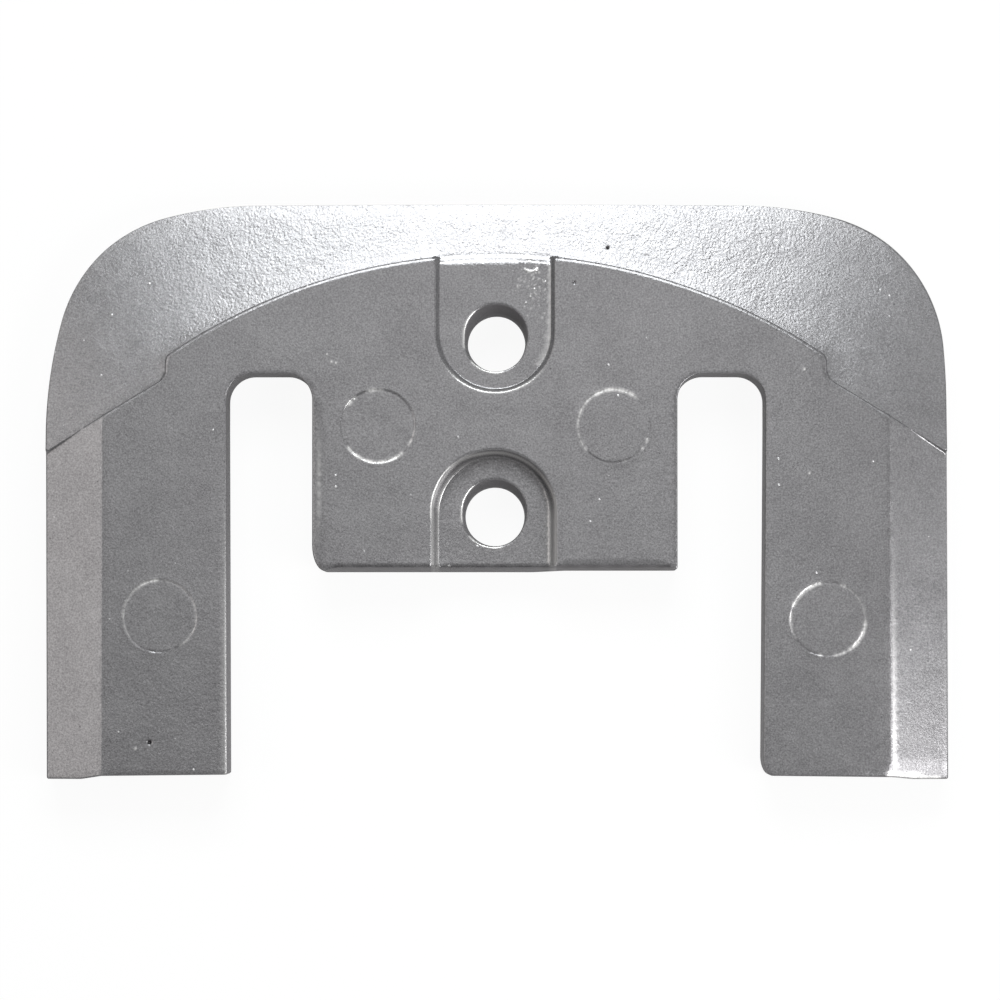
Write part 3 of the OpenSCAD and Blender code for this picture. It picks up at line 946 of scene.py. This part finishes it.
def castMetal():
    # grey as-cast aluminium: an uneven skin with two sizes of bumps, crystals with a painted
    # glint, pores painted dark as shade, and duller metal on the upright walls
    m = metal
    material, nodes, put, maths = newMaterial("castMetal")
    shader = nodes["Principled BSDF"]
    place = nodes.new("ShaderNodeTexCoord").outputs["Object"]

    def noise(size, detail, rough):
        node = nodes.new("ShaderNodeTexNoise")
        put(place, node.inputs["Vector"])
        put(1 / (size * mm), node.inputs["Scale"])
        put(detail, node.inputs["Detail"])
        put(rough, node.inputs["Roughness"])
        return node.outputs["Fac"]

    def cells(size):
        node = nodes.new("ShaderNodeTexVoronoi")
        put(place, node.inputs["Vector"])
        put(1 / (size * mm), node.inputs["Scale"])
        return node.outputs["Distance"], node.outputs["Color"]

    def ramp(value, fromLow, fromHigh, toLow=0.0, toHigh=1.0):
        node = nodes.new("ShaderNodeMapRange")
        put(value, node.inputs["Value"])
        for name, number in zip(("From Min", "From Max", "To Min", "To Max"),
                                (fromLow, fromHigh, toLow, toHigh)):
            put(number, node.inputs[name])
        return node.outputs["Result"]

    def mix(share, a, b):
        node = nodes.new("ShaderNodeMix")
        node.data_type = "RGBA"
        put(share, node.inputs["Factor"])
        colours = [socket for socket in node.inputs if socket.type == "RGBA"]
        for value, socket in zip((a, b), colours):
            put((*value, 1) if isinstance(value, tuple) else value, socket)
        return [socket for socket in node.outputs if socket.type == "RGBA"][0]

    def bump(height, micrometres, normal=None):
        node = nodes.new("ShaderNodeBump")
        put(height, node.inputs["Height"])
        put(micrometres * 1e-6, node.inputs["Distance"])
        if normal is not None:
            put(normal, node.inputs["Normal"])
        return node.outputs["Normal"]

    mottle = ramp(noise(*m["mottle"]), *m["spread"])
    tint = ramp(noise(*m["tint"]), *m["tintSpread"])
    share = m["mottleShare"]
    tone = maths("ADD", maths("MULTIPLY", mottle, share), maths("MULTIPLY", tint, 1 - share))
    colour = mix(tone, m["dark"], m["pale"])

    # crystals with a painted glint and pores with painted shade: the middles of a few of the cells,
    # picked by the cell's random colour
    distance, cellColour = cells(m["sparkSize"])
    split = nodes.new("ShaderNodeSeparateColor")
    put(cellColour, split.inputs["Color"])
    picked = ramp(split.outputs["Red"], *m["sparkPick"])
    spark = maths("MULTIPLY", ramp(distance, *m["sparkEdge"]), picked)
    colour = mix(maths("MULTIPLY", spark, m["glintShare"]), colour, m["glintColour"])
    # painted shade: dark dots in place of the shade inside pores
    picked = ramp(split.outputs["Green"], *m["porePick"])
    pore = maths("MULTIPLY", ramp(distance, *m["poreEdge"]), picked)
    colour = mix(maths("MULTIPLY", pore, m["poreShadeShare"]), colour, m["poreShadeColour"])

    def painted(name):
        node = nodes.new("ShaderNodeAttribute")
        node.attribute_name = name
        return node.outputs["Fac"]

    # upright walls are dull and painted darker as shade; painted highlights make lines pale, and
    # painted shade darkens pits and dark lines
    wall = painted("wall")
    colour = mix(maths("MULTIPLY", painted("paintedHighlight"), m["highlightShare"]), colour, m["highlightColour"])
    colour = mix(maths("MULTIPLY", wall, m["wallShadeShare"]), colour, m["wallShadeColour"])
    colour = mix(painted("paintedShade"), colour, m["shadeColour"])
    put(colour, shader.inputs["Base Color"])
    put(ramp(wall, 0, 1, m["metallic"], m["wallMetallic"]), shader.inputs["Metallic"])
    put(ramp(wall, 0, 1, *m["specular"]), shader.inputs["Specular IOR Level"])
    put((*m["edgeTint"], 1), shader.inputs["Specular Tint"])
    rough = ramp(noise(*m["uneven"]), *m["spread"], *m["roughness"])
    wallRough = maths("MULTIPLY", wall, m["wallRoughness"])
    put(maths("MAXIMUM", rough, wallRough), shader.inputs["Roughness"])

    wave = maths("MULTIPLY", noise(*m["wave"]), painted("peel"))
    normal = bump(wave, m["waveHeight"])
    peel = maths("MULTIPLY", noise(*m["peel"]), painted("peel"))
    normal = bump(peel, m["peelHeight"], normal)
    normal = bump(noise(*m["grain"]), m["grainHeight"], normal)
    normal = bump(spark, m["sparkHeight"], normal)
    put(normal, shader.inputs["Normal"])
    return material


skinMesh, footprint = castingMesh()
anode = bpy.data.objects.new("castingSkin", skinMesh)
bpy.context.scene.collection.objects.link(anode)
anode.data.materials.append(castMetal())
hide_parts("anode_casting")
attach(anode, "root")
print("casting built")


# Camera over the face, a little below and to the right of the middle, as in the photograph;
# places in millimetres, and how many of them one of the picture's pixels shows
view = {"at": (5.0, -27.0, 860.0), "target": (0.6, -1.33, 7.5), "pixel": 0.16, "frame": 1000,
        "sensor": 36}


def lookFrom(at, target, name):
    # camera that looks at the target with the frame's +Y upwards in the picture
    back = (Vector(at) - Vector(target)).normalized()
    right = Vector((0, 1, 0)).cross(back).normalized()
    turn = Matrix((right, back.cross(right), back)).transposed()
    data = bpy.data.cameras.new(name)
    camera = bpy.data.objects.new(name, data)
    camera.location = Vector(at) * mm
    camera.rotation_euler = turn.to_euler()
    bpy.context.scene.collection.objects.link(camera)
    return camera


# Soft boxes: degrees from the vertical and around it (0 is +X, 90 is +Y), distance in metres,
# width and height; the brightness is what a white surface would show
lamps = [
    {"name": "ceilingBox", "tilt": 0, "turn": 90, "size": (0.3, 0.3), "brightness": 1.18,
     "target": (0, 0.13, 0)},
    {"name": "ceilingLeft", "tilt": 0, "turn": 90, "size": (0.9, 1.2), "brightness": 0.36,
     "target": (-0.62, 0.5, 0)},
    {"name": "topBox", "tilt": 37, "turn": 90, "away": 0.95, "size": (0.54, 0.44), "brightness": 9.1,
     "colour": (0.96, 0.995, 1)},
    {"name": "frontBox", "tilt": 68, "turn": -90, "size": (2.0, 0.9), "brightness": 0.25},
    {"name": "leftBox", "tilt": 36, "turn": 180, "size": (0.9, 0.4), "brightness": 1.38,
     "colour": (1, 0.95, 0.91)},
    {"name": "rightBox", "tilt": 36, "turn": 8, "size": (0.9, 0.4), "brightness": 0.62},
    {"name": "lowRightBox", "tilt": 23.5, "turn": -26, "away": 0.35, "size": (0.13, 0.12),
     "brightness": 8.1, "target": (0.065, -0.04, 0.01)},
    {"name": "lowRightWide", "tilt": 34, "turn": -32, "away": 0.35, "size": (0.2, 0.12),
     "brightness": 2.4, "target": (0.065, -0.04, 0.01)},
    {"name": "sideBox", "tilt": 68, "turn": -12, "away": 0.5, "size": (0.3, 0.2), "brightness": 2.4},
    {"name": "backBox", "tilt": 180, "turn": 90, "size": (0.9, 0.9), "brightness": 3.2},
]

camera = lookFrom(view["at"], view["target"], "photoCamera")
distance = (Vector(view["at"]) - Vector(view["target"])).length
camera.data.sensor_width = view["sensor"]
camera.data.lens = view["sensor"] * distance / (view["pixel"] * view["frame"])
bpy.context.scene.camera = camera


def softBox(name, tilt, turn, size, brightness, away=1.0, colour=(1, 1, 1), target=(0, 0, 0.01)):
    # flat lamp that faces its target, whose power follows from its brightness and its area
    data = bpy.data.lights.new(name, "AREA")
    data.shape = "RECTANGLE"
    data.size, data.size_y = size
    data.energy = brightness * math.pi * size[0] * size[1]
    data.color = colour
    tilt, turn = math.radians(tilt), math.radians(turn)
    back = Vector((math.sin(tilt) * math.cos(turn), math.sin(tilt) * math.sin(turn), math.cos(tilt)))
    across = Vector((-math.sin(turn), math.cos(turn), 0))
    lamp = bpy.data.objects.new(name, data)
    lamp.visible_camera = False
    lamp.location = Vector(target) + back * away
    lamp.rotation_euler = Matrix((across, back.cross(across), back)).transposed().to_euler()
    bpy.context.scene.collection.objects.link(lamp)


for lamp in lamps:
    softBox(**lamp)

evenLight = 0.12            # weak light from all sides
world = bpy.data.worlds.new("studio")
world.use_nodes = True
bpy.context.scene.world = world
world.node_tree.nodes["Background"].inputs["Color"].default_value = (1, 1, 1, 1)
world.node_tree.nodes["Background"].inputs["Strength"].default_value = evenLight


# The floor's half width in millimetres, its colour, and how white it is made for the camera
floorLook = {"reach": 3000.0, "colour": (0.86, 0.86, 0.86, 1), "whiteShare": 0.93}


def floorPlane(side, loops):
    # square with the casting's footprint cut out, so that its plain back, lit from below, shows
    # in views from there, and a flat disc inside each bore
    square = np.array([(-side, -side), (side, -side), (side, side), (-side, side)])
    points = np.vstack([square] + loops)
    faces = triangulate(np.vstack((square, loops[0])), [square, loops[0]]).tolist()
    start = len(square) + len(loops[0])
    for loop in loops[1:]:
        faces.append(list(range(start, start + len(loop))))
        start += len(loop)
    mesh = bpy.data.meshes.new("floor")
    mesh.from_pydata(np.column_stack((points * mm, np.zeros(len(points)))).tolist(), [], faces)
    return mesh


def floorPaint():
    # white to the camera and to reflections, and a plain floor that still takes the casting's
    # shadow to all other light
    material, nodes, put, maths = newMaterial("floorPaint")
    paint = nodes["Principled BSDF"]
    put(floorLook["colour"], paint.inputs["Base Color"])
    put(1, paint.inputs["Roughness"])
    put(0, paint.inputs["Specular IOR Level"])
    white = nodes.new("ShaderNodeEmission")
    put(1, white.inputs["Strength"])
    rays = nodes.new("ShaderNodeLightPath").outputs
    seen = maths("MAXIMUM", rays["Is Camera Ray"], rays["Is Glossy Ray"])
    seen = maths("MAXIMUM", seen, rays["Is Transmission Ray"])
    blend = nodes.new("ShaderNodeMixShader")
    put(maths("MULTIPLY", seen, floorLook["whiteShare"]), blend.inputs["Fac"])
    put(paint.outputs[0], blend.inputs[1])
    put(white.outputs[0], blend.inputs[2])
    put(blend.outputs[0], nodes["Material Output"].inputs["Surface"])
    return material


floor = bpy.data.objects.new("floor", floorPlane(floorLook["reach"], footprint))
bpy.context.scene.collection.objects.link(floor)
floor.data.materials.append(floorPaint())

bpy.context.scene.view_settings.view_transform = "Standard"
